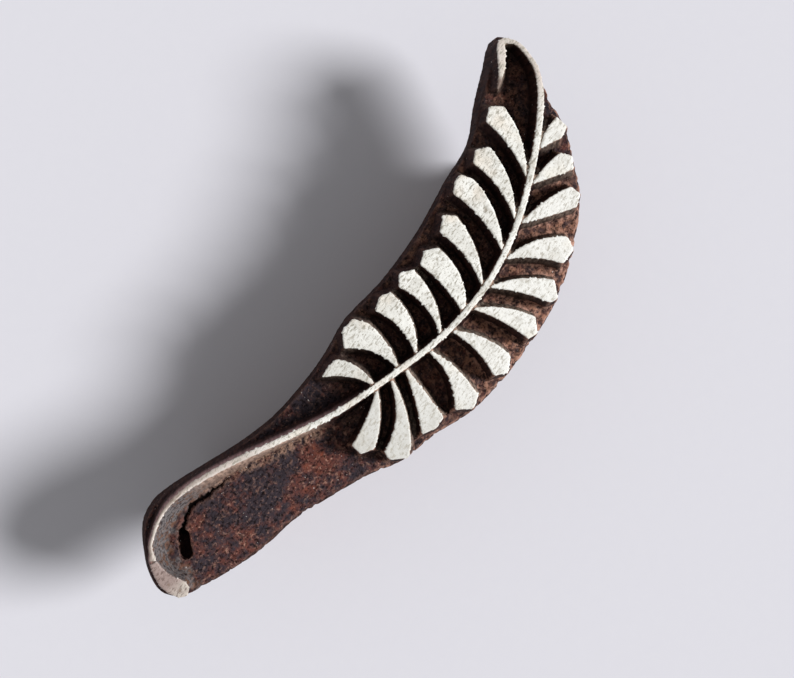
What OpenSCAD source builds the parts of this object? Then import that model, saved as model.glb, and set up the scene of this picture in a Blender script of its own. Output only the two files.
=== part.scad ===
// Hand-carved wooden textile printing block: a curved fern leaf with a nailed-on handle.
// +X runs from the stem to the leaf tip, +Y is the hollow side of the curve, +Z is the printing face.

/* [Block] */
// Length of the block over its flared foot, stem end to leaf tip
block_length = 127; // [100:1:150]
// Width of the block over its flared foot, across the curve
block_width = 42; // [34:0.2:50]
// Thickness of the block, from its back to the top of the carved wood
block_thickness = 16; // [13:0.5:24]
// Depth that the ground is cut away below the face
relief_depth = 6; // [4:0.25:8]
// Bevel along the lower edge of the block
back_bevel = 1.6; // [0.5:0.1:3]

/* [Carving] */
// Width of the printing rib along the middle of the leaf
rib_width = 1.05; // [0.8:0.05:1.6]
// How far a carved wall spreads from the face down to the ground
wall_draft = 0.9; // [0.5:0.05:1.2]
// Knife-cut gap between the rib and the foot of a leaflet
root_gap = 0.25; // [0.15:0.05:0.6]
// How much lower the gouged ground leaves the block than it lies along the middle
ground_fall = 1.6; // [0.4:0.1:2.5]
// Width of the chiselled pit at the stem end
pit_width = 2; // [1.2:0.1:2.8]
// Depth of the pit below the ground
pit_depth = 3.5; // [1.5:0.25:6]
// Width of the crack that runs from the pit along the rim
crack_width = 0.6; // [0.3:0.05:0.9]
// Depth of the crack below the ground
crack_depth = 1.5; // [0.5:0.25:4]

/* [Coat] */
// Thickness of the chalk-white coat on the raised faces
coat_thickness = 0.3; // [0.2:0.05:0.6]

/* [Handle] */
// Height of the handle bar
handle_height = 22; // [16:0.5:32]
// Width of the handle bar
handle_width = 16; // [12:0.5:18]
// Radius of the handle's curve, measured to its middle line
handle_radius = 157; // [120:1:240]
// How far the block overhangs the handle at each end
end_overhang = 18; // [12:0.5:28]
// Angle of the handle's chord to the block's length
handle_turn = -5.5; // [-8:0.5:0]
// Place of the handle's middle across the block
handle_shift = -2; // [-4:0.2:0]
// Depth of the finger groove in each side of the handle
groove_depth = 2.4; // [1:0.2:4]
// Height of the finger groove
groove_height = 12; // [8:0.5:14]
// Rounding of the handle's back edges
handle_round = 2.5; // [1:0.25:4]

/* [Nails] */
// Number of nails along the handle
nail_count = 3; // [2:1:5]
// Distance from the first and last nail to the end of the handle
nail_inset = 12; // [8:0.5:20]
// Diameter of a nail's shank
nail_d = 2.2; // [1.6:0.1:3]
// Diameter of a nail's head
nail_head_d = 5; // [4:0.25:7]
// Thickness of a nail's head
nail_head_t = 1; // [0.6:0.1:1.6]
// Wood left between a nail's point and the carved ground
nail_cover = 3; // [2:0.5:5]
// How deep a nail's head is sunk below the back of the handle
nail_sink = 0.8; // [0.4:0.1:2]
// Clearance round a nail
nail_clearance = 0.05; // [0.02:0.01:0.15]

/* [Hidden] */
wood = [0.27, 0.16, 0.12];
handle_wood = [0.36, 0.22, 0.14];
chalk = [0.9, 0.89, 0.86];
steel = [0.45, 0.44, 0.42];

// Heights, from the back of the handle up
block_z = handle_height;
face_z = block_z + block_thickness;
ground_z = face_z - relief_depth;
sunk_foot = ground_fall + 0.4;
spare = 1;
eps = 0.01;

// Outline of the block's foot as drawn, anticlockwise from the stem end: [x, y, draw-in up to the face]
foot_knots = [
    [-63.8, 8.9, 2.4], [-62.6, 5.8, 1.6], [-60.3, 3.6, 1.3], [-57.9, 2.5, 1.2], [-53.4, 0.4, 1.2],
    [-45.4, -2.6, 1.2], [-37.4, -4.2, 1.2], [-29.4, -7.4, 1.2], [-21.4, -11, 1.2], [-15.5, -14.6, 1.1],
    [-7.5, -16.8, 1.1], [0.5, -20, 1.1], [10.5, -21.36, 1.1], [20.5, -21.36, 1.1], [28.1, -20.5, 1.1],
    [36.6, -17.8, 1.1], [46.1, -12.8, 1], [51.4, -7.3, 1], [55.9, -2, 1], [58.3, 3.3, 1.2],
    [61.3, 8.6, 1], [63, 13.4, 0.9], [62.9, 18, 1.1], [60.7, 19.9, 1], [55, 17.6, 1.9],
    [48.7, 15, 1.9], [42, 11.7, 1.1], [33.5, 11, 1.2], [22.5, 9.6, 1.4], [10.5, 9.6, 1.2],
    [0.5, 11, 0.8], [-7.5, 10.2, 1], [-15.5, 10.3, 1.2], [-23.5, 11.2, 1.3], [-31.5, 13.6, 1.3],
    [-39.5, 16.9, 1.2], [-45.5, 19.3, 1.6], [-50.5, 20.5, 2.2], [-55.3, 19.4, 2.4], [-60.2, 15.2, 2.3],
    [-62.5, 12.2, 2.3]];
foot_steps = 3;
drawn_foot = closed_curve(foot_knots, foot_steps);

// The drawing follows the block's own length and width, from the middle of the drawn foot
drawn_low = [min([for (p = drawn_foot) p.x]), min([for (p = drawn_foot) p.y])];
drawn_high = [max([for (p = drawn_foot) p.x]), max([for (p = drawn_foot) p.y])];
drawn_middle = (drawn_low + drawn_high) / 2;
stretch = [block_length / (drawn_high.x - drawn_low.x), block_width / (drawn_high.y - drawn_low.y)];
function along(x) = (x - drawn_middle.x) * stretch.x;
function across(y) = (y - drawn_middle.y) * stretch.y;
function laid(p) = [along(p.x), across(p.y)];

// The raised line in one stroke: stem pad, rim, rib and hooked tip. Each row is
// [x, y, share of rib_width, share of wall_draft on the left and on the right]
line_knots = [
    [-58.5, 4.6, 1.4, 1, 1], [-58.9, 5.7, 2.9, 1, 1], [-59.4, 7.9, 3.1, 1, 1], [-59.2, 10.2, 2.4, 1, 1.2],
    [-58.1, 13, 1.4, 1, 1.6], [-56.9, 14.2, 0.8, 1, 2], [-55.3, 15.6, 0.55, 1, 2.4],
    [-49.5, 17.2, 0.6, 1, 2.8], [-43.5, 16.3, 0.8, 1, 2.4], [-35.5, 12.9, 1, 1, 1.6], [-25.5, 7.3, 1, 1, 1],
    [-15.5, 2, 1, 1, 1], [-3.5, -2.4, 1, 1, 1], [8.5, -5.9, 1, 1, 1], [20.5, -7, 1, 1, 1],
    [32.5, -5.25, 1, 1, 1], [44.5, -0.8, 1.1, 1, 1], [54.5, 4.6, 1.1, 1, 1], [59.6, 9.2, 0.85, 0.8, 1],
    [61.4, 14.3, 0.75, 0.6, 1], [61, 16.6, 0.85, 0.4, 1], [59.9, 17.7, 1.1, 0.2, 1], [58.3, 16.6, 1.5, 0.4, 1],
    [56, 14.8, 1.1, 0.8, 1], [53.8, 13.7, 0.6, 0.8, 1], [52.3, 13.1, 0.2, 0.8, 1]];
line_steps = 4;
// Knots at which the pad ends, and between which the line is a plain rib with leaflets
pad_end = 4;
rib_start = 9;
rib_end = 17;
widest_rib = 1.1;

// Leaflets, from the stem to the tip: [place of the root from the middle as a share of the block's length,
// width of the root, corners of the blunt end, bow of the edge on the stem's side and on the tip's side]
left_leaflets = [
    [-0.05189, 0.5, [[-11.3, 8], [-9, 8.2], [-6.9, 7.8]], 0.8, 0.9],
    [-0.009363, 0.5, [[-4.5, 7.8], [-1.9, 10], [1, 9.7], [2.1, 7]], 1.3, 0.7],
    [0.02371, 0.5, [[4.8, 7.2], [7.5, 8.1], [9.3, 6.9]], 1.2, 1.5],
    [0.07018, 0.5, [[11, 6.3], [13.2, 7.7], [15.3, 5.9]], 1.3, 1.2],
    [0.1206, 1.4, [[16.8, 5.5], [19.5, 6.4], [21.4, 4.5]], 0.6, 1.4],
    [0.1663, 0.5, [[23.9, 6], [26.9, 7.4], [28.3, 5.3]], 1, 1.1],
    [0.2277, 0.5, [[31.4, 8.4], [33.5, 9.4], [35.1, 9.2], [35.8, 6.7]], 0.9, 1.2],
    [0.2765, 0.5, [[38.2, 8.6], [40.5, 9.8], [42.6, 7.9]], 1.1, 1.3],
    [0.3372, 0.5, [[46, 11.3], [48.7, 12.5], [50.3, 10.3]], 0.9, 1.2]];
right_leaflets = [
    [-0.05347, 0.5, [[-18.4, -4.2], [-18.7, -6.4], [-16.5, -8]], 0.4, 0.8],
    [-0.02748, 0.5, [[-15.8, -9.9], [-16.4, -11.5], [-14, -14.2], [-12.1, -13.4]], 1.6, 0.9],
    [-0.002275, 0.5, [[-8.9, -13.6], [-6.5, -15.1], [-3.9, -15.1]], 0.4, 0.1],
    [0.04104, 0.5, [[-1.5, -16], [0.8, -18.7], [3.3, -18]], 1.4, 0.8],
    [0.08514, 0.5, [[8, -18.2], [10.2, -20], [13, -18.4]], 0.9, 1],
    [0.13, 0.5, [[17.5, -19.3], [19.3, -20.1], [21.7, -18]], 0.6, 0.8],
    [0.1702, 0.5, [[25.5, -18.6], [26.9, -19.4], [29.5, -16.8]], 0.5, 0.8],
    [0.2182, 0.5, [[32.9, -16.3], [36.3, -16.4], [37.6, -14]], 0.7, 1.2],
    [0.2742, 0.5, [[43.2, -12.1], [45.6, -11.2], [45.6, -8.9]], -0.2, 0.6],
    [0.3309, 0.5, [[48.6, -7.5], [50.4, -5.7], [49.5, -3.5]], 0, 0.3],
    [0.3836, 1.8, [[51.9, -2.1], [54.4, -1.7], [54.7, 1]], 0.1, 0.2]];
edge_steps = 6;

// Middle line of the whole leaf, and the width of the level ground along it
middle_knots = [
    [-60, 9], [-45, 8], [-30, 3.5], [-15, -2], [0, -4.5], [20, -5.5], [40, -1], [52, 7], [61, 15]];
level_width = 14;

// Pit and crack in the ground at the stem end
pit_line = [[-51.2, 11.5], [-53.9, 9.1]];
crack_line = [
    [-50.6, 12.1], [-49.4, 12.8], [-48.4, 13.1], [-47.3, 13.5], [-46, 13.7], [-44.8, 13.4], [-43.6, 12.8],
    [-42, 12.2], [-40.6, 11.8], [-38, 11.2]];

// Smooth curves through hand-set points
function bend(a, b, c, d, t) =
    (2 * b + (c - a) * t + (2 * a - 5 * b + 4 * c - d) * t * t + (3 * b - a - 3 * c + d) * t * t * t) / 2;
function open_curve(k, steps) = let (n = len(k) - 1) concat(
    [for (i = [0:n - 1], s = [0:steps - 1])
        bend(k[max(i - 1, 0)], k[i], k[i + 1], k[min(i + 2, n)], s / steps)],
    [k[n]]);
function closed_curve(k, steps) = let (n = len(k))
    [for (i = [0:n - 1], s = [0:steps - 1])
        bend(k[(i + n - 1) % n], k[i], k[(i + 1) % n], k[(i + 2) % n], s / steps)];
function flat(p) = [p.x, p.y];
function unit(v) = v / norm(v);
function left_of(v) = [-v.y, v.x];
function backwards(line) = [for (i = [len(line) - 1:-1:0]) line[i]];

// A closed outline moved outwards by the distance given for each point, with sharp corners kept short
sharpest_corner = 0.6;
function grown(line, by) = let (n = len(line))
    [for (i = [0:n - 1]) let (
        a = left_of(unit(flat(line[i]) - flat(line[(i + n - 1) % n]))),
        b = left_of(unit(flat(line[(i + 1) % n]) - flat(line[i]))),
        m = unit(a + b),
        corner = max(m * a, sharpest_corner))
        flat(line[i]) - m * by[i] / corner];
function at_height(line, z) = [for (p = line) [p.x, p.y, z]];

// A solid between closed outlines that have equal numbers of points, lowest first
module loft(rings) {
    n = len(rings[0]);
    last = len(rings) - 1;
    polyhedron(
        points = [for (ring = rings) each ring],
        faces = concat(
            [[for (i = [0:n - 1]) i]],
            [for (r = [0:last - 1], i = [0:n - 1]) let (j = (i + 1) % n)
                [r * n + j, r * n + i, (r + 1) * n + i, (r + 1) * n + j]],
            [[for (i = [n - 1:-1:0]) last * n + i]]));
}

// Outline of the foot, with its draw-in at every point
foot_curve = [for (p = drawn_foot) [laid(p).x, laid(p).y, p.z * stretch.y]];
function drawn_in(share, extra) = grown(foot_curve, [for (p = foot_curve) -share * p.z - extra]);

// The raised line as points with its widths, and its left or right edge at the face or down a wall
line_curve = open_curve([for (k = line_knots) [laid(k).x, laid(k).y, k[2], k[3], k[4]]], line_steps);
pad_curve = [for (i = [0:pad_end * line_steps]) line_curve[i]];
rib_curve = [for (i = [pad_end * line_steps + 1:len(line_curve) - 1]) line_curve[i]];
function line_edge(c, side, reach) = let (n = len(c) - 1)
    [for (i = [0:n]) let (
        way = unit(flat(c[min(i + 1, n)]) - flat(c[max(i - 1, 0)])),
        foot = (side > 0 ? c[i][3] : c[i][4]) * wall_draft * reach)
        flat(c[i]) + side * left_of(way) * (c[i][2] * rib_width / 2 + foot)];
function line_outline(c, reach) = concat(line_edge(c, -1, reach), backwards(line_edge(c, 1, reach)));

// Place of the leaf's middle line across the block
middle_stretch = [for (k = middle_knots) laid(k)];
function middle_y(x) = lookup(x, middle_stretch);

// Place of the rib's middle line across the leaf, and its direction, at a place along the leaf
rib_stretch = [for (i = [rib_start * line_steps:rib_end * line_steps]) flat(line_curve[i])];
function rib_y(x) = lookup(x, rib_stretch);
function rib_way(x) = unit([2, rib_y(x + 1) - rib_y(x - 1)]);
function beside_rib(x, side, away) = [x, rib_y(x)] + side * left_of(rib_way(x)) * away;

// Outline of one leaflet: a narrow root beside the rib, two bowed edges and a blunt end with corners
function bowed(a, b, bow) = let (sideways = left_of(unit(b - a)))
    [for (s = [0:edge_steps - 1]) let (t = s / edge_steps)
        a + (b - a) * t + sideways * bow * 4 * t * (1 - t)];
function leaflet_outline(leaflet, side) = let (
    x = leaflet[0] * block_length,
    way = rib_way(x),
    root = beside_rib(x, side, widest_rib * rib_width / 2 + root_gap),
    end = [for (p = leaflet[2]) laid(p)],
    half_root = way * leaflet[1] / 2 * stretch.x,
    stem_edge = bowed(root - half_root, end[0], -side * leaflet[3] * stretch.x),
    tip_edge = bowed(root + half_root, end[len(end) - 1], -side * leaflet[4] * stretch.x),
    loop = concat(stem_edge, end, backwards(tip_edge)))
    side > 0 ? backwards(loop) : loop;
left_outlines = [for (leaflet = left_leaflets) leaflet_outline(leaflet, 1)];
right_outlines = [for (leaflet = right_leaflets) leaflet_outline(leaflet, -1)];

// The handle's curve: its middle line is an arc through the handle's middle point
handle_length = block_length - 2 * end_overhang;
handle_angle = handle_length / handle_radius * 180 / PI;
nail_bite = block_thickness - relief_depth - nail_cover;
nail_step = (handle_length - 2 * nail_inset) / (nail_count - 1);
function nail_angle(i) = (nail_inset + i * nail_step - handle_length / 2) / handle_radius * 180 / PI;
module on_arc(angle) {
    translate([0, handle_shift, 0])
        rotate(handle_turn)
            translate([0, handle_radius, 0])
                rotate(angle)
                    translate([0, -handle_radius, 0])
                        children();
}

// The blank: back bevel, widest at the foot, then drawn in up to the face
module blank() {
    loft([
        at_height(drawn_in(0, back_bevel), block_z),
        at_height(drawn_in(0, 0), block_z + back_bevel),
        at_height(drawn_in(1, 0), face_z)]);
}

// A raised part of the carving: its face outline and its wider foot, sunk a little into the ground
module ridge(face, foot) {
    loft([at_height(foot, ground_z - sunk_foot), at_height(face, face_z)]);
}

foot_reach = (relief_depth + sunk_foot) / relief_depth;
module line_ridge() {
    ridge(line_outline(line_curve, 0), line_outline(line_curve, foot_reach));
}

module leaflet_ridge(outline) {
    ridge(outline, grown(outline, [for (p = outline) wall_draft * foot_reach]));
}

// The wood under the carving: level along the middle of the leaf, falling to the edge of the block
module ground() {
    spread = drawn_in(0, -spare);
    level = [for (p = foot_curve) let (y = middle_y(p.x))
        [p.x * (1 - level_width / block_length), y + level_width / block_width * (p.y - y)]];
    loft([
        at_height(spread, block_z - spare),
        at_height(spread, ground_z - ground_fall),
        at_height(level, ground_z)]);
}

// A cut along a line in the ground, as round-ended strokes of a narrow chisel
module chisel_cut(line, width, depth) {
    for (i = [0:len(line) - 2])
        hull()
            for (p = [line[i], line[i + 1]])
                translate([laid(p).x, laid(p).y, ground_z - depth])
                    cylinder(d = width, h = depth + relief_depth / 2, $fn = 10);
}

module nail_holes(top) {
    for (i = [0:nail_count - 1])
        on_arc(nail_angle(i))
            translate([0, 0, -eps])
                cylinder(d = nail_d + 2 * nail_clearance, h = top + eps, $fn = 24);
}

module carved_block() {
    color(wood)
        difference() {
            intersection() {
                blank();
                union() {
                    ground();
                    line_ridge();
                    for (outline = concat(left_outlines, right_outlines))
                        leaflet_ridge(outline);
                }
            }
            chisel_cut(pit_line, pit_width, pit_depth);
            chisel_cut(crack_line, crack_width, crack_depth);
            nail_holes(block_z + nail_bite + nail_clearance);
        }
}

// Section of the handle: a rounded back, a finger groove in each side and a square top under the block
groove_r = (groove_height * groove_height / 4 + groove_depth * groove_depth) / (2 * groove_depth);
module handle_section() {
    difference() {
        union() {
            translate([-handle_width / 2, handle_round])
                square([handle_width, handle_height - handle_round]);
            translate([-handle_width / 2 + handle_round, 0])
                square([handle_width - 2 * handle_round, handle_height]);
            for (side = [-1, 1])
                translate([side * (handle_width / 2 - handle_round), handle_round])
                    circle(r = handle_round, $fn = 48);
        }
        for (side = [-1, 1])
            translate([side * (handle_width / 2 + groove_r - groove_depth), handle_height / 2])
                circle(r = groove_r, $fn = 96);
    }
}

module handle() {
    head_hole = nail_sink + nail_head_t;
    color(handle_wood)
        difference() {
            translate([0, handle_shift, 0])
                rotate(handle_turn)
                    translate([0, handle_radius, 0])
                        rotate(-90 - handle_angle / 2)
                            rotate_extrude(angle = handle_angle, $fn = 180)
                                translate([handle_radius, 0])
                                    handle_section();
            nail_holes(handle_height + eps);
            for (i = [0:nail_count - 1])
                on_arc(nail_angle(i))
                    translate([0, 0, -eps])
                        cylinder(d = nail_head_d + 2 * nail_clearance, h = head_hole + eps, $fn = 48);
        }
}

// A wire nail, head down: flat head, round shank and a pointed end in the block
module handle_nail(i) {
    tip = nail_d;
    shank = block_z + nail_bite - tip - nail_sink;
    color(steel)
        on_arc(nail_angle(i))
            translate([0, 0, nail_sink]) {
                cylinder(d = nail_head_d, h = nail_head_t, $fn = 48);
                cylinder(d = nail_d, h = shank, $fn = 24);
                translate([0, 0, shank])
                    cylinder(d1 = nail_d, d2 = nail_d / 8, h = tip, $fn = 24);
            }
}

// A patch of chalk-white coat on a raised face
module coat(outline) {
    color(chalk)
        translate([0, 0, face_z])
            linear_extrude(coat_thickness)
                polygon(outline);
}

carved_block();
handle();
for (i = [1:nail_count])
    handle_nail(i - 1);
coat(line_outline(rib_curve, 0));  // rib_coat
coat(line_outline(pad_curve, 0));  // stem_pad_coat
for (i = [1:len(left_leaflets)])
    coat(left_outlines[i - 1]);
for (i = [1:len(right_leaflets)])
    coat(right_outlines[i - 1]);
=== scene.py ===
import math

import bmesh
import bpy
import numpy as np
from mathutils import Matrix, Vector, kdtree, noise


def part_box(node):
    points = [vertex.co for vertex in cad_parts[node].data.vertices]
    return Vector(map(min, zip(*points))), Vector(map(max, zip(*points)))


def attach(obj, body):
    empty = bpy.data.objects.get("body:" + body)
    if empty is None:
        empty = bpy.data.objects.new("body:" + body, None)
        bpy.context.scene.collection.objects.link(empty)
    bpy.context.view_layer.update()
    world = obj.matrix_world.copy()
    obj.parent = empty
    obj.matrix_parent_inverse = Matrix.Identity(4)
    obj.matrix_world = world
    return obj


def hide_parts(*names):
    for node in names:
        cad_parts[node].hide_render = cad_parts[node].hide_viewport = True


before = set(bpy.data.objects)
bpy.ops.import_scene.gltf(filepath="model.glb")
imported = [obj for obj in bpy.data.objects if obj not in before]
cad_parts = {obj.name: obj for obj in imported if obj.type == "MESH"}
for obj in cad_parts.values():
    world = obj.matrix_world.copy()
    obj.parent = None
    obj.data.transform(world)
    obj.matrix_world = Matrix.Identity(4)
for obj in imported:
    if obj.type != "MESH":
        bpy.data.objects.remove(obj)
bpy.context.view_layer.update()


# The carved block: one piece of dense hardwood, sawn to the curved leaf outline and cut down by hand with
# gouges and knives, so that rib, rim and leaflets stand 6 mm above a rough ground. Years of dye have
# stained it from red-brown to blue-black.
MM = 0.001
RELIEF_DEPTH = 6.0
STEM_END_X = -19
BLOCK_CELL = 0.415


def box_of(node):
    """A CAD node's lowest and highest corners, in millimetres."""
    return [np.array(corner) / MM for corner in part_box(node)]


def node_copy(name):
    """A merged copy of a CAD node, in millimetres."""
    shape = bmesh.new()
    shape.from_mesh(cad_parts[name].data)
    bmesh.ops.remove_doubles(shape, verts=shape.verts, dist=1e-7)
    bmesh.ops.scale(shape, vec=(1 / MM, 1 / MM, 1 / MM), verts=shape.verts)
    return shape


def mesh_of(shape, name):
    """The shape as a mesh, after which the bmesh is let go."""
    mesh = bpy.data.meshes.new(name)
    shape.to_mesh(mesh)
    shape.free()
    return mesh


def placed(name, data):
    """A new object in the scene, for a mesh, a light or a camera."""
    made = bpy.data.objects.new(name, data)
    bpy.context.scene.collection.objects.link(made)
    return made


def in_even_cells(shape, name, cell):
    """The shape as an object of even cells, fine enough to be carved by moving its points."""
    piece = placed(name, mesh_of(shape, name))
    cells = piece.modifiers.new("cells", "REMESH")
    cells.mode = "VOXEL"
    cells.voxel_size = cell
    cells.use_smooth_shade = True
    bpy.context.view_layer.update()
    made = piece.evaluated_get(bpy.context.evaluated_depsgraph_get())
    piece.data = bpy.data.meshes.new_from_object(made)
    piece.modifiers.clear()
    piece.data.name = name
    return piece


def points(piece):
    flat = np.empty(3 * len(piece.data.vertices), np.float32)
    piece.data.vertices.foreach_get("co", flat)
    return flat.reshape(-1, 3).astype(float)


def normals(piece):
    flat = np.empty(3 * len(piece.data.vertices), np.float32)
    piece.data.vertex_normals.foreach_get("vector", flat)
    return flat.reshape(-1, 3).astype(float)


def put_points(piece, co):
    piece.data.vertices.foreach_set("co", co.astype(np.float32).ravel())
    piece.data.update()


def lumps(co, size, seed):
    """Smooth noise from -1 to 1, with lumps of about this size along each axis."""
    return np.array([noise.noise(p) for p in co / np.asarray(size, float) + 7.3 * seed])


def ramp(values, low, high):
    """A smooth rise from 0 at low to 1 at high, or a fall where high is the smaller."""
    t = np.clip((values - low) / (high - low), 0, 1)
    return t * t * (3 - 2 * t)


def eased(piece, values, rounds):
    """Each point's value, averaged with its neighbours' a few times."""
    ends = np.empty(2 * len(piece.data.edges), np.int32)
    piece.data.edges.foreach_get("vertices", ends)
    a, b = ends.reshape(-1, 2).T
    count = np.bincount(ends, minlength=len(values))[:, None] + 1
    for _ in range(rounds):
        total = values.copy()
        np.add.at(total, a, values[b])
        np.add.at(total, b, values[a])
        values = total / count
    return values


def mark(piece, name, values):
    """Stores a value for each point, for the piece's material to read."""
    layer = piece.data.attributes.new(name, "FLOAT", "POINT")
    layer.data.foreach_set("value", values.astype(np.float32))


def mark_hollows(piece, rounds, depth):
    """Marks edges as 1 and hollows as -1, where they differ by this depth from the eased shape."""
    co = points(piece)
    rise = ((co - eased(piece, co, rounds)) * normals(piece)).sum(1)
    mark(piece, "edge", np.clip(rise / depth, -1, 1))


block_low, block_high = box_of("carved_block")
FACE_Z = round(block_high[2], 3)
GROUND_Z = FACE_Z - RELIEF_DEPTH

block = in_even_cells(node_copy("carved_block"), "carved_wood", BLOCK_CELL)
co, up = points(block), normals(block)
on_ground = ramp(up[:, 2], 0.45, 0.8) * ramp(co[:, 2], GROUND_Z + 0.9, GROUND_Z + 0.3)
on_ground *= ramp(co[:, 2], GROUND_Z - 3, GROUND_Z - 2.2)
on_wall = ramp(np.abs(up[:, 2]), 0.6, 0.35)

# Gouge cuts: each lowers the ground to a shallow trough, along the stem or along the gap between leaflets
GOUGED_HALF_LENGTH, GOUGED_HALF_WIDTH = 62, 21
GOUGE_STEP, GOUGE_STRAY = 1.5, 0.7
STEM_HEADING, LEAF_HEADING, HEADING_STRAY = -20, 78, 14
SHALLOWEST_CUT, DEEPEST_STEM_CUT, DEEPEST_LEAF_CUT = 0.05, 0.12, 0.42
CUT_HALF_LENGTH, CUT_HALF_WIDTH = 3.5, 1.3
CUT_RADII, CUT_SWEEP = (0.8, 1.9), 13
FEWEST_POINTS = 12
carver = np.random.default_rng(17)
ground_ids = np.flatnonzero(on_ground > 0.3)
ground = co[ground_ids]
cut_z = ground[:, 2].copy()
for x in np.arange(-GOUGED_HALF_LENGTH, GOUGED_HALF_LENGTH, GOUGE_STEP):
    at_stem = x < STEM_END_X
    heading = STEM_HEADING if at_stem else LEAF_HEADING
    deepest = DEEPEST_STEM_CUT if at_stem else DEEPEST_LEAF_CUT
    for y in np.arange(-GOUGED_HALF_WIDTH, GOUGED_HALF_WIDTH, GOUGE_STEP):
        middle = np.array([x, y]) + carver.uniform(-GOUGE_STRAY, GOUGE_STRAY, 2)
        angle = math.radians(heading + carver.normal(0, HEADING_STRAY))
        sink = carver.uniform(SHALLOWEST_CUT, deepest)
        radius = carver.uniform(*CUT_RADII)
        off = ground[:, :2] - middle
        length = off @ (math.cos(angle), math.sin(angle))
        width = off @ (-math.sin(angle), math.cos(angle))
        near = (np.abs(length) < CUT_HALF_LENGTH) & (np.abs(width) < CUT_HALF_WIDTH)
        if near.sum() > FEWEST_POINTS:
            level = np.median(ground[near, 2]) - sink
            trough = level + width[near] ** 2 / (2 * radius) + length[near] ** 2 / (2 * CUT_SWEEP)
            cut_z[near] = np.minimum(cut_z[near], trough)
co[ground_ids, 2] += (cut_z - ground[:, 2]) * on_ground[ground_ids]
co[:, 2] += on_ground * (0.08 * lumps(co, 0.9, 1) + 0.07 * lumps(co, 0.55, 2))

# The crack: it opens from the pit, wanders along the foot of the rim and gets finer. Here and below, a pair
# of values is where a mark is 0 and where it is 1, measured from a line or along the block.
CRACK_LINE = [
    (-50.8, 12.2), (-50.1, 12.8), (-49.1, 13.3), (-48.1, 13.6), (-47.0, 14.0), (-45.7, 14.2), (-44.5, 13.9),
    (-43.3, 13.3), (-41.7, 12.7), (-40.3, 12.3), (-37.7, 11.7), (-33.0, 9.8)]
CRACK_SHARES = (0, 0.1, 0.5, 0.7, 1)
CRACK_HALF_WIDTHS = (0.5, 0.36, 0.3, 0.16, 0.05)
CRACK_STEP, CRACK_STRAY, STRAY_SIZE = 0.12, 0.5, 0.8
CRACK_LIP, CRACK_SINK = 0.2, 1.1
LIPS_EDGE, LIPS_START = (1.3, 0.3), (-52.5, -51)
CRACK_TOP_Z = GROUND_Z + 1.5


def finely(line, step):
    """The line's points, with more set between them at about this step."""
    corners = np.array(line)
    run = np.concatenate([[0], np.cumsum(np.linalg.norm(np.diff(corners, axis=0), axis=1))])
    at = np.arange(0, run[-1], step)
    return np.stack([np.interp(at, run, corners[:, axis]) for axis in (0, 1)], 1)


def beside(line, places):
    """Each place's distance to the line, above 0 on its left, its way from it and its share along it."""
    tree = kdtree.KDTree(len(line))
    for number, (x, y) in enumerate(line):
        tree.insert((x, y, 0), number)
    tree.balance()
    found = [tree.find((x, y, 0)) for x, y in places]
    number = np.array([hit[1] for hit in found])
    way, aside = np.gradient(line, axis=0)[number], places - line[number]
    side = np.where(way[:, 0] * aside[:, 1] > way[:, 1] * aside[:, 0], 1, -1)
    off = np.array([hit[2] for hit in found])
    return side * off, aside / (off + 1e-6)[:, None], number / len(line)


crack = finely(CRACK_LINE, CRACK_STEP)
level_crack = np.c_[crack, 0 * crack[:, 0]]
crack += CRACK_STRAY * np.stack([lumps(level_crack, STRAY_SIZE, seed) for seed in (6, 7)], 1)
off, way, share = beside(crack, co[:, :2])
off = np.abs(off)
half_width = np.interp(share, CRACK_SHARES, CRACK_HALF_WIDTHS) * (1 + 0.7 * lumps(co, 1.2, 8))
bowl = np.clip(1 - (off / (half_width + CRACK_LIP)) ** 2, 0, 1)
co[:, 2] -= CRACK_SINK * bowl * on_ground * ramp(half_width, 0.05, 0.3)
lips = ramp(off, *LIPS_EDGE) * ramp(co[:, 0], *LIPS_START)
lips *= ramp(co[:, 2], GROUND_Z - 3, GROUND_Z - 2) * ramp(co[:, 2], CRACK_TOP_Z, CRACK_TOP_Z - 0.5)
co[:, :2] += way * (lips * (0.45 * lumps(co, 0.75, 31) - 0.12))[:, None]
cracked = ramp(off, half_width + CRACK_LIP, half_width - 0.1) * ramp(half_width, 0.04, 0.25)
cracked *= co[:, 2] < CRACK_TOP_Z

# Beside the raised line: a grey shelf and pale flecks on its right at the stem; on its left a painted shade,
# darker wood where the rim's shadow falls, and the worn top of the stem's outer wall
RAISED_LINE = [
    (-58.6, 7.0), (-58.9, 10.7), (-57.8, 13.5), (-56.6, 14.7), (-55.0, 16.1), (-52.2, 17.2), (-49.2, 17.7),
    (-43.2, 16.8), (-35.2, 13.4), (-25.2, 7.8), (-15.2, 2.5), (-3.2, -1.9), (8.8, -5.4), (20.8, -6.5),
    (32.8, -4.8), (44.8, -0.3), (54.8, 5.1), (59.9, 9.7)]
RAISED_STEP = 0.3
SHELF_EDGE, SHELF_END = (3.6, 2.4), (-37, -45)
GREY_EDGE, BLACK_EDGE = (3.4, 1.4), (0.2, 1.0)
FLECKS_EDGE, FLECKS_START, FLECKS_END = (3.8, 1.0), (-47, -41), (-16, -22)
WEAR_EDGE, WEAR_END = (3.0, 1.4), (-6, -20)
raised_line = finely(RAISED_LINE, RAISED_STEP)
off, way, _ = beside(raised_line, co[:, :2])
on_right = ramp(-off, 0.0, 0.3) * ramp(co[:, 2], GROUND_Z - 4, GROUND_Z - 2.5)
ragged = 1.6 * lumps(co, 1.6, 32) + 0.8 * lumps(co, 0.6, 33)
shelf = on_right * ramp(-off + ragged, *SHELF_EDGE) * ramp(co[:, 0], *SHELF_END)
by_rim = ramp(-off, *GREY_EDGE)
flecked = on_right * ramp(-off, *FLECKS_EDGE) * ramp(co[:, 0], *FLECKS_START) * ramp(co[:, 0], *FLECKS_END)
# Painted shade: the ground left of the raised line, darkened as if in the rim's shadow
shaded_left = ramp(off, *BLACK_EDGE)
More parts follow.
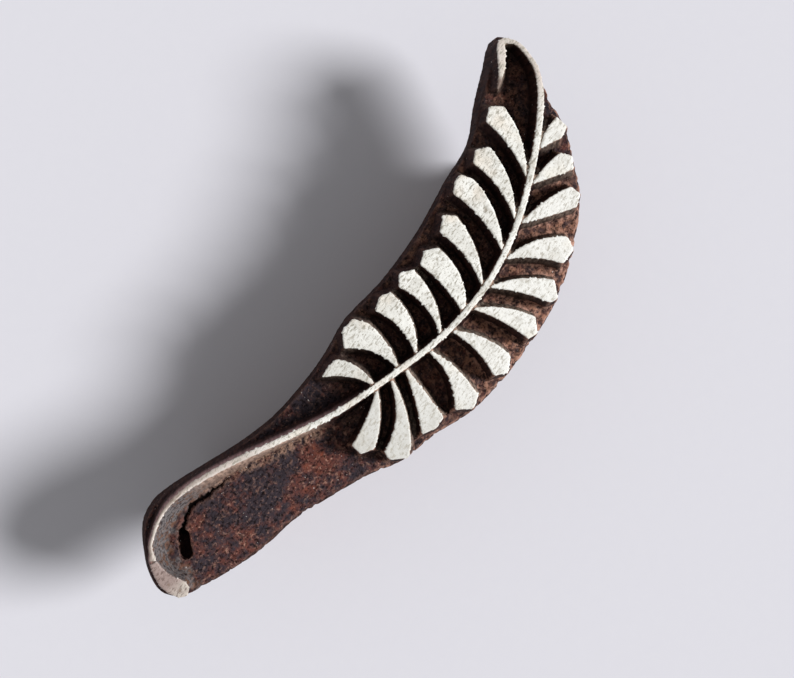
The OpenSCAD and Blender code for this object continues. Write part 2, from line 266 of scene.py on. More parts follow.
worn_rim = ramp(off, 0.0, 0.4) * ramp(off, *WEAR_EDGE) * ramp(co[:, 0], *WEAR_END)
worn_rim *= ramp(co[:, 2], GROUND_Z + 1, FACE_Z - 1)

# Rubbed wood between the leaflets, partly real wear and partly painted light: full on the lit right side,
# less on the shaded left, and less at both ends of the right and on outward walls.
# Walls that face away from the key light, to the leaf's hollow side, get none of it: a painted shade.
RUBBED_AND_LIT_START, LESS_RUBBED_AND_LIT_ROOT, LESS_RUBBED_AND_LIT_TIP = (-14, -8), (9, 2), (45, 50)
AWAY_FROM_KEY = (-0.59, 0.81)
faces_out = (up[:, :2] * way).sum(1)
rubbed_and_lit_left = ramp(co[:, 0], *RUBBED_AND_LIT_START) * (0.55 + 0.35 * ramp(off, 8, 11))
near_ends = 0.6 * ramp(co[:, 0], *LESS_RUBBED_AND_LIT_ROOT) + ramp(co[:, 0], *LESS_RUBBED_AND_LIT_TIP)
rubbed_and_lit_right = ramp(co[:, 0], STEM_END_X, STEM_END_X + 4) * (1 - on_ground * near_ends)
rubbed_and_lit = np.where(off > 0, rubbed_and_lit_left, rubbed_and_lit_right) * ramp(np.abs(off), 0.0, 0.6)
rubbed_and_lit *= ramp(co[:, 2], GROUND_Z - 2.4, GROUND_Z - 1.4) * ramp(faces_out, 0.9, 0.2)
# Painted shade: walls that face away from the key light, to the leaf's hollow side, lose their paler wood
shade_side_walls = on_wall * ramp(up[:, :2] @ AWAY_FROM_KEY, -0.2, 0.5)
rubbed_and_lit *= 1 - shade_side_walls

# Where the dye has gone warm and rusty, or cold and blue: x, y, reach, warmth
DYE = [
    (-23.4, -0.6, 4.0, 1.0), (-31.2, -1.0, 4.5, 0.5), (-45.6, 3.6, 4.0, 0.5), (-48.0, 10.5, 2.2, 0.6),
    (-34.9, 5.6, 4.5, -0.7), (-28.5, 5.0, 3.5, -0.7), (-39.0, 2.5, 3.0, -0.4), (-44.5, 9.5, 2.5, -0.5),
    (-53.0, 5.0, 2.5, -0.5), (-21.0, -6.0, 2.5, -0.3), (-15.7, 7.3, 3.5, -1.0)]
warm = np.zeros(len(co))
for x, y, reach, warmth in DYE:
    warm += warmth * np.exp(-((co[:, 0] - x) ** 2 + (co[:, 1] - y) ** 2) / reach ** 2)

# Knife cuts: narrow upright facets on the walls, deeper away from the printing face, saw marks down the
# outer wall, and a chipped edge where the ground runs out of the block
CHIPS_Z = GROUND_Z - 1.2
FRESH_CHIPS_END, FRESH_CHIPS_FULL = (50, 45), (2, 9)
STEM_FULL = (-16, -24)
below_face = ramp(co[:, 2], FACE_Z - 0.2, FACE_Z - 2)
facets = 0.1 * np.abs(lumps(co, (1.1, 1.1, 9), 3)) + 0.08 * np.abs(lumps(co, (0.5, 0.5, 2.2), 4))
outer_right = ramp(np.hypot(up[:, 0], up[:, 1]), 0.2, 0.6) * (off < 0)
chipped = outer_right * ramp(np.abs(co[:, 2] - CHIPS_Z), 1.8, 0.6)
chips = 0.5 * ramp(lumps(co, (0.8, 0.8, 1.6), 5), -0.1, 0.6)
chips += 0.45 * ramp(lumps(co, (2.1, 2.1, 3), 9), 0, 0.5)
sawn = outer_right * ramp(co[:, 2], GROUND_Z - 0.2, GROUND_Z - 1)
saw_marks = 0.4 * ramp(lumps(co, (1.3, 1.3, 16), 34), -0.1, 0.6)
inward = up * (1, 1, 0.15)
co -= inward * (on_wall * below_face * facets + chipped * chips + sawn * saw_marks)[:, None]
co = np.clip(co, block_low, block_high)
put_points(block, co)
mark_hollows(block, 4, 0.12)

at_stem = ramp(co[:, 0], *STEM_FULL)
fresh_chips = chipped * ramp(co[:, 0], *FRESH_CHIPS_END) * (0.4 + 0.6 * ramp(co[:, 0], *FRESH_CHIPS_FULL))
for name, values in (
        ("ground", on_ground), ("crack", cracked), ("shelf", shelf), ("by_rim", by_rim), ("flecked", flecked),
        ("warm", warm), ("black", shaded_left), ("stem", at_stem), ("rubbed_and_lit", rubbed_and_lit), ("shade_side_walls", shade_side_walls),
        ("worn_rim", worn_rim), ("chipped", fresh_chips)):
    mark(block, name, values)
put_points(block, co * MM)


def shade(red, green, blue):
    """A colour as it looks on screen, 0 to 255, as linear light."""
    screen = [value / 255 for value in (red, green, blue)]
    light = [((c + 0.055) / 1.055) ** 2.4 if c > 0.04 else c / 12.92 for c in screen]
    return (*light, 1.0)


def feed(tree, node, inputs):
    """Gives each of these inputs of a shader node a value, or a link from another node."""
    for key, value in inputs.items():
        if isinstance(value, bpy.types.NodeSocket):
            tree.links.new(value, node.inputs[key])
        else:
            node.inputs[key].default_value = value


def add(tree, kind, inputs, **settings):
    """Adds a shader node, with values or links for its inputs."""
    made = tree.nodes.new("ShaderNode" + kind)
    for key, value in settings.items():
        setattr(made, key, value)
    feed(tree, made, inputs)
    return made


def mixed(tree, share, a, b):
    """Colour a, with colour b laid over it by a share."""
    return add(tree, "Mix", {0: share, 6: a, 7: b}, data_type="RGBA").outputs[2]


def maths(tree, operation, *values):
    return add(tree, "Math", dict(enumerate(values)), operation=operation).outputs[0]


def times(tree, a, b):
    return maths(tree, "MULTIPLY", a, b)


def plus(tree, a, b):
    return maths(tree, "ADD", a, b)


def stepped(tree, value, low, high, bottom=0.0, top=1.0, kind="SMOOTHSTEP"):
    """The value moved from low..high to bottom..top."""
    inputs = {0: value, 1: low, 2: high, 3: bottom, 4: top}
    return add(tree, "MapRange", inputs, interpolation_type=kind).outputs[0]


def speckle(tree, vector, scale, detail=3.0, rough=0.6):
    """Noise round 0.5, with its features this many to the millimetre."""
    made = add(tree, "TexNoise", {"Vector": vector, "Scale": scale, "Detail": detail, "Roughness": rough})
    return made.outputs["Fac"]


def stretched(tree, vector, x, y, z):
    return add(tree, "VectorMath", {0: vector, 1: (x, y, z)}, operation="MULTIPLY").outputs[0]


def millimetres(tree):
    """The place on the piece, in millimetres."""
    return stretched(tree, add(tree, "TexCoord", {}).outputs["Object"], 1 / MM, 1 / MM, 1 / MM)


def marked(tree, name):
    return add(tree, "Attribute", {}, attribute_name=name, attribute_type="GEOMETRY").outputs["Fac"]


def effect(name, inputs, outputs):
    """A new shader node group with float inputs and outputs."""
    tree = bpy.data.node_groups.new(name, "ShaderNodeTree")
    for socket, value in inputs.items():
        made = tree.interface.new_socket(socket, in_out="INPUT", socket_type="NodeSocketFloat")
        made.default_value = value
    for socket in outputs:
        tree.interface.new_socket(socket, in_out="OUTPUT", socket_type="NodeSocketFloat")
    return tree, tree.nodes.new("NodeGroupInput").outputs, tree.nodes.new("NodeGroupOutput").inputs


def use(tree, group, **inputs):
    """Places an effect in a material, with the material's own values."""
    made = tree.nodes.new("ShaderNodeGroup")
    made.node_tree = group
    feed(tree, made, inputs)
    return made.outputs


# Effects that several finishes share: bent wood grain with dark vessels, worn and dirty edges, settled dust
wood_grain, given, out = effect("wood_grain", {"Fineness": 1.0}, ("Grain", "Pores"))
place = millimetres(wood_grain)
bent = add(wood_grain, "TexNoise", {"Vector": place, "Scale": 0.05, "Detail": 1.0}).outputs["Color"]
place = add(wood_grain, "VectorMath", {0: bent, 1: (0, 7, 7), 2: place}, operation="MULTIPLY_ADD").outputs[0]
years = stretched(wood_grain, place, 0.05, 0.9, 0.9)
years = add(wood_grain, "VectorMath", {0: years, "Scale": given["Fineness"]}, operation="SCALE").outputs[0]
wood_grain.links.new(speckle(wood_grain, years, 1.0, 5.0, 0.65), out["Grain"])
vessels = stretched(wood_grain, place, 0.35, 4.5, 4.5)
wood_grain.links.new(stepped(wood_grain, speckle(wood_grain, vessels, 1.0, 1.0), 0.6, 0.72), out["Pores"])

handled_edges, given, out = effect("handled_edges", {"Reach": 0.5}, ("Worn", "Dirt"))
broken = speckle(handled_edges, millimetres(handled_edges), 1.3, 4.0, 0.7)
broken = maths(handled_edges, "MULTIPLY_ADD", broken, 0.9, -0.45)
edge = plus(handled_edges, marked(handled_edges, "edge"), broken)
worn_from = maths(handled_edges, "SUBTRACT", 1.0, given["Reach"])
handled_edges.links.new(stepped(handled_edges, edge, worn_from, 1.0, kind="LINEAR"), out["Worn"])
handled_edges.links.new(stepped(handled_edges, edge, -0.1, -0.9), out["Dirt"])

settled_dust, given, out = effect("settled_dust", {"Amount": 0.5}, ("Dust",))
motes = speckle(settled_dust, millimetres(settled_dust), 2.2, 1.0, 0.5)
mote_foot = maths(settled_dust, "MULTIPLY_ADD", given["Amount"], -0.16, 0.84)
mote_top = plus(settled_dust, mote_foot, 0.05)
settled_dust.links.new(stepped(settled_dust, motes, mote_foot, mote_top, kind="LINEAR"), out["Dust"])


def finish_of(name):
    """A new material with its own node tree, place in millimetres and Principled shader."""
    material = bpy.data.materials.new(name)
    material.use_nodes = True
    tree = material.node_tree
    return material, tree, millimetres(tree), tree.nodes["Principled BSDF"].inputs


def raised(tree, bsdf, height, strength, depth):
    """Lets a height of this depth, in millimetres, show on the surface."""
    bump = add(tree, "Bump", {"Height": height, "Strength": strength, "Distance": depth * MM})
    tree.links.new(bump.outputs[0], bsdf["Normal"])


COLD_DYE, WARM_DYE, RUSTY_DYE = shade(60, 53, 59), shade(106, 65, 58), shade(144, 80, 60)
RUBBED_AND_LIT_GROUND, RUBBED_AND_LIT_WALL = shade(172, 126, 104), shade(190, 170, 154)
TAN_FLECK, PALE_FLECK, TAN_STREAK = shade(212, 172, 146), shade(186, 144, 126), shade(214, 182, 164)
DARK_WALL, BROWN_WALL, TORN_FIBRE = shade(42, 28, 29), shade(74, 50, 45), shade(150, 130, 114)
SHELF_GREY, SHELF_DARK, SHELF_BROWN = shade(124, 119, 119), shade(66, 60, 62), shade(120, 86, 68)
WORN_RIM, WORN_WOOD, FRESH_WOOD = shade(190, 152, 150), shade(178, 136, 118), shade(206, 160, 142)
SHADE_BLACK, PORE_BLACK, DIRT = shade(30, 19, 23), shade(30, 20, 19), shade(20, 14, 14)
PIT_BLACK, CRACK_BLACK, DUST = shade(24, 17, 18), shade(14, 9, 9), shade(226, 220, 214)

stained, tree, place, bsdf = finish_of("stained_carved_wood")
height = add(tree, "SeparateXYZ", {0: place}).outputs[2]
ground_mark, rubbed_and_lit_mark, flecked_mark = (marked(tree, name) for name in ("ground", "rubbed_and_lit", "flecked"))
black_mark, stem_mark, shelf_mark = (marked(tree, name) for name in ("black", "stem", "shelf"))
grain = use(tree, wood_grain, Fineness=1.0)
wear = use(tree, handled_edges, Reach=0.75)
patches = speckle(tree, place, 0.42, 5.0, 0.72)
clumps = speckle(tree, place, 0.75, 4.0, 0.7)
grit = speckle(tree, place, 1.2, 4.0, 0.7)
pits = speckle(tree, place, 1.7, 3.0, 0.65)
fibres = speckle(tree, stretched(tree, place, 1.6, 1.6, 0.16), 1.0, 4.0, 0.6)

# The ground: dyed in patches, rubbed brown between the leaflets (partly painted light), flecked and pitted
warmth = plus(tree, times(tree, marked(tree, "warm"), 0.13), patches)
floor = mixed(tree, stepped(tree, warmth, 0.42, 0.66), COLD_DYE, WARM_DYE)
floor = mixed(tree, stepped(tree, warmth, 0.63, 0.78, 0.0, 0.7), floor, RUSTY_DYE)
# Partly painted light: the paler rubbed brown is laid fully on the lit right side and less on the shaded left
rubbed_and_lit_brown = times(tree, rubbed_and_lit_mark, stepped(tree, clumps, 0.42, 0.63, 0.1, 1.0))
floor = mixed(tree, rubbed_and_lit_brown, floor, RUBBED_AND_LIT_GROUND)
tan = times(tree, flecked_mark, stepped(tree, grit, 0.4, 0.57))
floor = mixed(tree, times(tree, tan, 0.9), floor, TAN_FLECK)
flecks = times(tree, stepped(tree, grit, 0.53, 0.7), stepped(tree, warmth, 0.42, 0.7, 0.4, 0.95))
floor = mixed(tree, flecks, floor, PALE_FLECK)
floor = mixed(tree, stepped(tree, pits, 0.5, 0.36, 0.0, 0.85), floor, PIT_BLACK)

# The walls: dark fibres, torn pale at the top, rubbed pale between the leaflets and paler upwards (partly
# painted light), both less on walls in painted shade, streaked and worn at the rim
wall = mixed(tree, stepped(tree, fibres, 0.36, 0.68), DARK_WALL, BROWN_WALL)
torn = times(tree, stepped(tree, height, FACE_Z - 1.2, FACE_Z - 0.1), stepped(tree, grit, 0.4, 0.6, 0.1, 0.7))
# Painted shade: fewer torn pale fibres on walls that face away from the key light
torn = times(tree, torn, stepped(tree, marked(tree, "shade_side_walls"), 0.0, 1.0, 1.0, 0.25))
wall = mixed(tree, torn, wall, TORN_FIBRE)
pale = times(tree, rubbed_and_lit_mark, stepped(tree, height, GROUND_Z - 1, FACE_Z - 1.5, 0.35, 0.9))
wall = mixed(tree, times(tree, pale, stepped(tree, fibres, 0.36, 0.6, 0.25, 1.0)), wall, RUBBED_AND_LIT_WALL)
streaked = times(tree, flecked_mark, stepped(tree, fibres, 0.34, 0.64, 0.45, 1.0))
streaked = times(tree, streaked, stepped(tree, height, GROUND_Z + 1, FACE_Z - 1, 0.6, 1.0))
wall = mixed(tree, streaked, wall, TAN_STREAK)
rim_wear = times(tree, marked(tree, "worn_rim"), stepped(tree, fibres, 0.3, 0.6, 0.5, 0.9))
wall = mixed(tree, rim_wear, wall, WORN_RIM)

# Over both: the shelf, grey by the rim and brown beyond, painted shade left of the raised line, pores, dirt,
# worn edges (less pale in that painted shade and at the stem), fresh chips, the crack and dust
colour = mixed(tree, ground_mark, wall, floor)
stone = mixed(tree, stepped(tree, pits, 0.54, 0.38), SHELF_GREY, SHELF_DARK)
earthy = plus(tree, times(tree, marked(tree, "by_rim"), -0.12), clumps)
stone = mixed(tree, stepped(tree, earthy, 0.38, 0.54, 0.0, 0.9), stone, SHELF_BROWN)
colour = mixed(tree, times(tree, shelf_mark, 0.9), colour, stone)
# Painted shade left of the raised line, where the rim's shadow falls
colour = mixed(tree, times(tree, black_mark, 0.12), colour, SHADE_BLACK)
colour = mixed(tree, times(tree, grain["Pores"], 0.3), colour, PORE_BLACK)
colour = mixed(tree, times(tree, wear["Dirt"], 0.35), colour, DIRT)
# Worn edges stay darker in the painted shade left of the raised line and at the stem
bright_edge = stepped(tree, plus(tree, black_mark, stem_mark), 0.0, 1.0, 0.75, 0.15)
bright_edge = times(tree, bright_edge, stepped(tree, height, GROUND_Z - 3.5, GROUND_Z - 2, 0.3, 1.0))
colour = mixed(tree, times(tree, wear["Worn"], bright_edge), colour, WORN_WOOD)
fresh = times(tree, marked(tree, "chipped"), stepped(tree, clumps, 0.44, 0.6))
fresh = times(tree, fresh, stepped(tree, stem_mark, 0.0, 1.0, 0.7, 0.35))
colour = mixed(tree, fresh, colour, FRESH_WOOD)
colour = mixed(tree, stepped(tree, marked(tree, "crack"), 0.25, 0.75, 0.0, 0.95), colour, CRACK_BLACK)
colour = mixed(tree, times(tree, use(tree, settled_dust, Amount=0.5)["Dust"], 0.9), colour, DUST)
tree.links.new(colour, bsdf["Base Color"])
tree.links.new(stepped(tree, patches, 0.3, 0.75, 0.9, 0.7), bsdf["Roughness"])
rough_floor = plus(tree, times(tree, grit, 0.7), times(tree, pits, 0.6))
relief = add(tree, "Mix", {0: ground_mark, 2: times(tree, fibres, 0.5), 3: rough_floor}, data_type="FLOAT")
relief = times(tree, relief.outputs[0], stepped(tree, shelf_mark, 0.0, 1.0, 1.0, 0.55))
relief = plus(tree, relief, times(tree, grain["Pores"], -0.3))
raised(tree, bsdf, relief, 1.0, 0.4)
bsdf["Specular IOR Level"].default_value = 0.05

block.data.materials.append(stained)
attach(block, "root")
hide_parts("carved_block")


# The handle: a bar of plainer hardwood, sawn to the same curve as the leaf, with a finger groove gouged along
# each side and its back edges rounded by hand. It is nailed to the back of the block.
HANDLE_CELL = 0.5
LIGHT_GRAIN, DARK_GRAIN, BLOTCH = shade(132, 90, 62), shade(74, 46, 33), shade(58, 36, 30)
HANDLE_PORE, HAND_DIRT = shade(34, 21, 17), shade(30, 19, 16)
POLISHED_WOOD, HANDLE_DUST = shade(158, 116, 84), shade(196, 186, 172)

handle_low, handle_high = box_of("handle")
handle_top = round(handle_high[2], 3)
handle = in_even_cells(node_copy("handle"), "handle_bar", HANDLE_CELL)
co = eased(handle, points(handle), 2)
put_points(handle, co)
rasped = 0.22 * np.abs(lumps(co, (9, 5, 5), 11)) + 0.06 * np.abs(lumps(co, (3, 1.2, 1.2), 12))
dents = 0.3 * ramp(lumps(co, 4, 13), 0.5, 0.8)
under_block = ramp(co[:, 2], handle_top, handle_top - 1.5)
co -= normals(handle) * ((rasped + dents) * under_block)[:, None]
co = np.clip(co, handle_low, handle_high)
put_points(handle, co)
mark_hollows(handle, 6, 0.2)
put_points(handle, co * MM)

handled_wood, tree, place, bsdf = finish_of("handled_bar_wood")
grain = use(tree, wood_grain, Fineness=0.8)
wear = use(tree, handled_edges, Reach=0.8)
blotches = speckle(tree, place, 0.09, 4.0, 0.6)
colour = mixed(tree, stepped(tree, grain["Grain"], 0.3, 0.7), DARK_GRAIN, LIGHT_GRAIN)
colour = mixed(tree, stepped(tree, blotches, 0.48, 0.66, 0.0, 0.7), colour, BLOTCH)
colour = mixed(tree, times(tree, grain["Pores"], 0.65), colour, HANDLE_PORE)
colour = mixed(tree, times(tree, wear["Dirt"], 0.6), colour, HAND_DIRT)
colour = mixed(tree, times(tree, wear["Worn"], 0.55), colour, POLISHED_WOOD)
colour = mixed(tree, times(tree, use(tree, settled_dust, Amount=0.3)["Dust"], 0.6), colour, HANDLE_DUST)
tree.links.new(colour, bsdf["Base Color"])
tree.links.new(stepped(tree, blotches, 0.3, 0.7, 0.5, 0.68), bsdf["Roughness"])
scratches = speckle(tree, stretched(tree, place, 0.6, 3.0, 3.0), 1.0, 3.0)
raised(tree, bsdf, plus(tree, times(tree, scratches, 0.5), times(tree, grain["Pores"], -0.5)), 0.5, 0.15)
bsdf["Specular IOR Level"].default_value = 0.35

handle.data.materials.append(handled_wood)
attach(handle, "root")
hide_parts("handle")


# The nails: three round wire nails, driven up through the handle into the block until their flat heads are
# sunk in its back. Bare steel, hammered flat on top and gone brown with rust.
NAIL_HALF_PROFILE = [
    (0.0, 0.12), (1.2, 0.08), (2.0, 0.0), (2.35, 0.1), (2.5, 0.4), (2.42, 0.8), (1.5, 1.0), (1.14, 1.25),
    (1.1, 1.8), (1.1, 10.0), (1.1, 18.0), (1.1, 26.0), (0.6, 27.4), (0.0, 28.2)]
NAIL_SIDES = 40
HEAD_HEIGHT = 0.9
HEAD_FACE_HEIGHT = 0.5
BARE_STEEL, BRIGHT_STEEL = shade(112, 108, 104), shade(150, 147, 142)
DARK_RUST, LIGHT_RUST, NAIL_DIRT = shade(62, 38, 28), shade(122, 72, 44), shade(34, 24, 20)

rusty, tree, place, bsdf = finish_of("rusty_nail_steel")
wear = use(tree, handled_edges, Reach=0.7)
bloom = speckle(tree, place, 0.9, 5.0, 0.7)
spots = speckle(tree, place, 3.2, 3.0, 0.6)
rust = stepped(tree, plus(tree, bloom, times(tree, spots, 0.35)), 0.56, 0.78)
colour = mixed(tree, rust, BARE_STEEL, mixed(tree, spots, DARK_RUST, LIGHT_RUST))
colour = mixed(tree, times(tree, wear["Worn"], 0.6), colour, BRIGHT_STEEL)
colour = mixed(tree, times(tree, wear["Dirt"], 0.5), colour, NAIL_DIRT)
tree.links.new(colour, bsdf["Base Color"])
tree.links.new(stepped(tree, rust, 0.0, 1.0, 0.42, 0.9), bsdf["Roughness"])
tree.links.new(stepped(tree, rust, 0.1, 0.8, 0.9, 0.05), bsdf["Metallic"])
raised(tree, bsdf, spots, 0.5, 0.12)

for number in (1, 2, 3):
    node = f"handle_nail_{number}"
    shape = bmesh.new()
    line = [shape.verts.new((radius, 0, z)) for radius, z in NAIL_HALF_PROFILE]
    for a, b in zip(line, line[1:]):
        shape.edges.new((a, b))
    bmesh.ops.spin(
        shape, geom=shape.verts[:] + shape.edges[:], cent=(0, 0, 0), axis=(0, 0, 1), angle=math.tau,
        steps=NAIL_SIDES, use_merge=True)
    bmesh.ops.remove_doubles(shape, verts=shape.verts, dist=1e-4)
    bmesh.ops.recalc_face_normals(shape, faces=shape.faces)
    for vert in shape.verts:
        if vert.co.z < HEAD_HEIGHT:
            blow = noise.noise(Vector((vert.co.x * 0.6, vert.co.y * 0.6, 9.0 * number)))
            vert.co.z += 0.1 * max(0.0, blow) * (vert.co.z < HEAD_FACE_HEIGHT)
            vert.co.xy *= 1 - 0.05 * abs(noise.noise(Vector((vert.co.x, vert.co.y, 3.0 * number))))
    low, high = box_of(node)
    middle = (low + high) / 2
    bmesh.ops.translate(shape, vec=(middle[0], middle[1], low[2]), verts=shape.verts)
    nail = placed(f"sunk_nail_{number}", mesh_of(shape, f"sunk_nail_{number}"))
    nail.data.shade_smooth()
    mark_hollows(nail, 3, 0.1)
    put_points(nail, points(nail) * MM)
    nail.data.materials.append(rusty)
    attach(nail, "root")
    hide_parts(node)


# The chalk-white coat: a thin skin of white ground colour on every raised face, which shows a carver what is
# left to print. It is brushed on, dries speckled, and crumbles along its edges.
COAT_CELL = 0.13
COAT_SEAT = 0.4
CORNER_ROUND = 0.35
EDGE_ROOM = 0.3
LEAF_MIDDLE_X = 14.0
GREYER_ENDS = (36.0, 47.0)
# Where the coat is rubbed off, newly laid or greyer towards the stem, and by what share
WEDGE_MIDDLE, WEDGE_EDGE, WEDGE_BARE = (52.3, 13.3), (3.3, 2.0), 0.85
RIM_EDGE, RIM_END, RIM_BARE = (-0.3, 0.3), (-30, -48), 0.6
NEW_PAD_EDGE, PAD_NEW = (9, 5.5), 0.8
STEMWARD_GREY_RAMP, LEAFLET_STEMWARD_GREY = (10, -14), 0.3

NEW_CHALK, STEMWARD_GREY_CHALK, BRUSHED_EDGE = shade(216, 207, 196), shade(128, 124, 118), shade(250, 249, 244)
BALD_WOOD, RUBBED_WOOD, COAT_DIRT = shade(140, 120, 102), shade(118, 92, 82), shade(110, 94, 80)


def chalk(name, pale, cream, ends, grey, bare):
    """A dry, brushed white with a fine hatch, that lets a share of bare wood through."""
    material, tree, place, bsdf = finish_of(name)
    wear = use(tree, handled_edges, Reach=0.6)
    cloud = speckle(tree, place, 0.12, 3.0, 0.55)
    fine = speckle(tree, place, 3.0, 3.0, 0.7)
    hatch = speckle(tree, stretched(tree, place, 0.95, 2.4, 1.0), 1.0, 3.0, 0.6)
    bald = speckle(tree, place, 0.8, 4.0, 0.7)
    smudges = speckle(tree, place, 0.3, 2.0, 0.5)
    colour = mixed(tree, stepped(tree, cloud, 0.5, 0.68), pale, cream)
    from_middle = maths(tree, "SUBTRACT", add(tree, "SeparateXYZ", {0: place}).outputs[0], LEAF_MIDDLE_X)
    at_ends = stepped(tree, maths(tree, "ABSOLUTE", from_middle), *GREYER_ENDS, 0.0, 0.7)
    colour = mixed(tree, times(tree, at_ends, stepped(tree, bald, 0.3, 0.55, 0.6, 1.0)), colour, ends)
    colour = mixed(tree, marked(tree, "fresh"), colour, NEW_CHALK)
    colour = mixed(tree, marked(tree, "stemward_grey"), colour, STEMWARD_GREY_CHALK)
    colour = mixed(tree, stepped(tree, bald, 0.5, 0.36, 0.0, 0.35), colour, grey)
    colour = mixed(tree, stepped(tree, smudges, 0.5, 0.36, 0.0, 0.2), colour, grey)
    colour = mixed(tree, stepped(tree, fine, 0.48, 0.32, 0.0, 0.6), colour, grey)
    colour = mixed(tree, stepped(tree, hatch, 0.48, 0.35, 0.0, 0.9), colour, grey)
    colour = mixed(tree, stepped(tree, bald, 0.38, 0.28, 0.0, bare), colour, BALD_WOOD)
    colour = mixed(tree, times(tree, wear["Dirt"], 0.5), colour, COAT_DIRT)
    colour = mixed(tree, times(tree, wear["Worn"], 0.6), colour, BRUSHED_EDGE)
    colour = mixed(tree, marked(tree, "bare"), colour, RUBBED_WOOD)
    tree.links.new(colour, bsdf["Base Color"])
    tree.links.new(stepped(tree, fine, 0.3, 0.7, 0.98, 0.86), bsdf["Roughness"])
    raised(tree, bsdf, plus(tree, times(tree, fine, 0.6), times(tree, hatch, 0.4)), 0.4, 0.1)
    bsdf["Specular IOR Level"].default_value = 0.15
    return material


# Painted light: the right leaflets, which face the key light, get a brighter copy of the chalk; the left
# leaflets and the rib get a greyer one.
lit_side_chalk = chalk(
    "lit_side_chalk", pale=shade(252, 251, 246), cream=shade(248, 244, 234), ends=shade(240, 232, 224),
    grey=shade(194, 189, 178), bare=0.2)
white_chalk = chalk(
    "white_chalk", pale=shade(252, 251, 245), cream=shade(246, 237, 224), ends=shade(202, 182, 172),
    grey=shade(166, 160, 147), bare=0.35)
worn_chalk = chalk(
    "worn_stem_chalk", pale=shade(188, 168, 162), cream=shade(172, 150, 144), ends=shade(172, 152, 146),
    grey=shade(122, 104, 98), bare=0.9)
CHALK_OF = {"right": lit_side_chalk, "left": white_chalk, "rib": white_chalk, "stem": worn_chalk}


def blunt_corners(shape):
    """The upright edges where two sides of over 1 mm meet at an angle, as at a leaflet's blunt end."""
    found = []
    for edge in shape.edges:
        foot, top = edge.verts
        if abs(foot.co.z - top.co.z) > 0.1 and edge.calc_face_angle() > 0.3:
            shortest = min(side.calc_length() for side in foot.link_edges if side != edge)
            if shortest > 1:
                found.append(edge)
    return found


coat_nodes = [name for name in sorted(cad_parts) if "coat" in name]
for seed, node in enumerate(coat_nodes):
    shape = node_copy(node)
    bmesh.ops.dissolve_limit(shape, angle_limit=0.01, verts=shape.verts, edges=shape.edges)
    bmesh.ops.bevel(
        shape, geom=blunt_corners(shape), offset=CORNER_ROUND, segments=3, profile=0.5, affect="EDGES",
        material=-1)
    seat = [vert for vert in shape.verts if vert.co.z < FACE_Z + 0.1]
    bmesh.ops.translate(shape, vec=(0, 0, -COAT_SEAT), verts=seat)
    coat = in_even_cells(shape, node.replace("coat", "chalk"), COAT_CELL)
    co = eased(coat, points(coat), 3)
    put_points(coat, co)
    up = normals(coat)
    side = ramp(np.abs(up[:, 2]), 0.95, 0.6)
    upright = co * (1, 1, 0.3)
    crumble = 0.1 * lumps(upright, 0.55, 21 + seed) + 0.1 * ramp(lumps(co, 0.4, 22 + seed), 0.2, 0.7)
    crumble += 0.14 * np.abs(lumps(upright, 1.7, 25 + seed))
    burrs = 0.06 + 0.22 * ramp(lumps(upright, 0.5, 27 + seed), 0.25, 0.65)
    co[:, :2] -= up[:, :2] * (side * (crumble - burrs))[:, None]
    top = ramp(up[:, 2], 0.5, 0.9)
    co[:, 2] -= top * (0.04 * np.abs(lumps(co, 0.8, 23)) + 0.05 * ramp(lumps(co, 0.34, 24), 0.35, 0.7))
    low, high = box_of(node)
    co = np.clip(co, low - (EDGE_ROOM, EDGE_ROOM, COAT_SEAT), high + (EDGE_ROOM, EDGE_ROOM, 0))
    put_points(coat, co)
    mark_hollows(coat, 3, 0.06)
    bare = WEDGE_BARE * ramp(np.linalg.norm(co[:, :2] - WEDGE_MIDDLE, axis=1), *WEDGE_EDGE)
    if node == "rib_coat":
        off, _, _ = beside(raised_line, co[:, :2])
        bare = np.maximum(bare, RIM_BARE * ramp(off, *RIM_EDGE) * ramp(co[:, 0], *RIM_END))
    mark(coat, "bare", bare)
    new = PAD_NEW if node == "stem_pad_coat" else 0
    mark(coat, "fresh", new * ramp(co[:, 1] + 1.2 * lumps(co, 1.5, 26), *NEW_PAD_EDGE))
    # The leaflets grow greyer towards the stem end
    stemward_grey = LEAFLET_STEMWARD_GREY if "leaflet" in node else 0
    mark(coat, "stemward_grey", stemward_grey * ramp(co[:, 0], *STEMWARD_GREY_RAMP))
    put_points(coat, co * MM)
    coat.data.materials.append(CHALK_OF[node.split("_")[0]])
    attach(coat, "root")
    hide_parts(node)


# The studio: a plain pale floor of matt paper, lit by one soft key light from the right of the picture and
# by an even white sky.
FLOOR_HALF_SIZE = 3
PAPER, PAPER_CLOUD = shade(226, 225, 232), shade(214, 213, 222)
PICTURE_TURN = math.radians(54)
KEY_HEIGHT, KEY_SPREAD, KEY_STRENGTH = math.radians(42), math.radians(20), 3.4
SKY_STRENGTH = 0.27

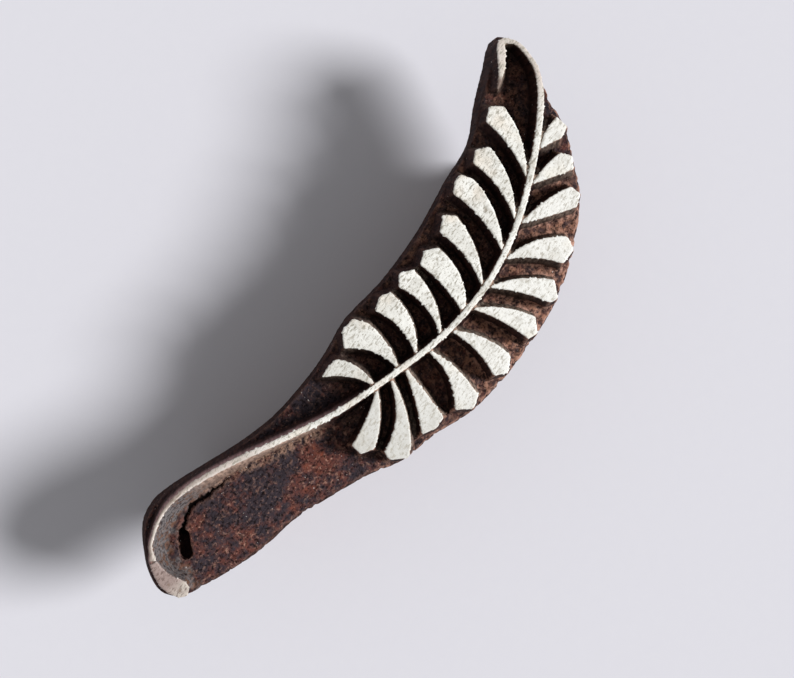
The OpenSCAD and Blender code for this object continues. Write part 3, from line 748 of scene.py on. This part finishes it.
shape = bmesh.new()
bmesh.ops.create_grid(shape, x_segments=1, y_segments=1, size=FLOOR_HALF_SIZE)
pale_floor = placed("pale_floor", mesh_of(shape, "pale_floor"))
paper, tree, place, bsdf = finish_of("pale_paper")
paper_cloud = times(tree, speckle(tree, place, 0.4, 3.0), 0.2)
tree.links.new(mixed(tree, paper_cloud, PAPER, PAPER_CLOUD), bsdf["Base Color"])
bsdf["Roughness"].default_value = 0.9
pale_floor.data.materials.append(paper)

right = Vector((math.cos(PICTURE_TURN), -math.sin(PICTURE_TURN), 0))
upward = Vector((math.sin(PICTURE_TURN), math.cos(PICTURE_TURN), 0))
key_data = bpy.data.lights.new("key", "SUN")
key_data.energy = KEY_STRENGTH
key_data.angle = KEY_SPREAD
key = placed("key", key_data)
towards = right * math.cos(KEY_HEIGHT) + Vector((0, 0, math.sin(KEY_HEIGHT)))
key.rotation_euler = towards.to_track_quat("Z", "Y").to_euler()

sky = bpy.data.worlds.new("sky")
sky.use_nodes = True
background = sky.node_tree.nodes["Background"].inputs
background["Color"].default_value = (1, 1, 1, 1)
background["Strength"].default_value = SKY_STRENGTH
bpy.context.scene.world = sky

# The camera looks down on the printing face, a little from the left of the picture, turned so that the leaf
# climbs to the upper right.
CAMERA_HEIGHT, CAMERA_ASIDE = 0.35, 0.014
PICTURE_WIDTH = 0.1498
PICTURE_MIDDLE = Vector((0.0032, 0.00124, FACE_Z * MM))
SENSOR_WIDTH = 36
away = Vector((0, 0, CAMERA_HEIGHT)) - right * CAMERA_ASIDE
camera_data = bpy.data.cameras.new("camera")
camera_data.sensor_fit = "HORIZONTAL"
camera_data.sensor_width = SENSOR_WIDTH
camera_data.lens = SENSOR_WIDTH * away.length / PICTURE_WIDTH
camera_data.clip_start = 0.01
camera = placed("camera", camera_data)
back = away.normalized()
across = upward.cross(back).normalized()
turn = Matrix((across, back.cross(across), back)).transposed().to_4x4()
camera.matrix_world = Matrix.Translation(PICTURE_MIDDLE + away) @ turn
bpy.context.scene.camera = camera

bpy.context.scene.view_settings.view_transform = "Standard"
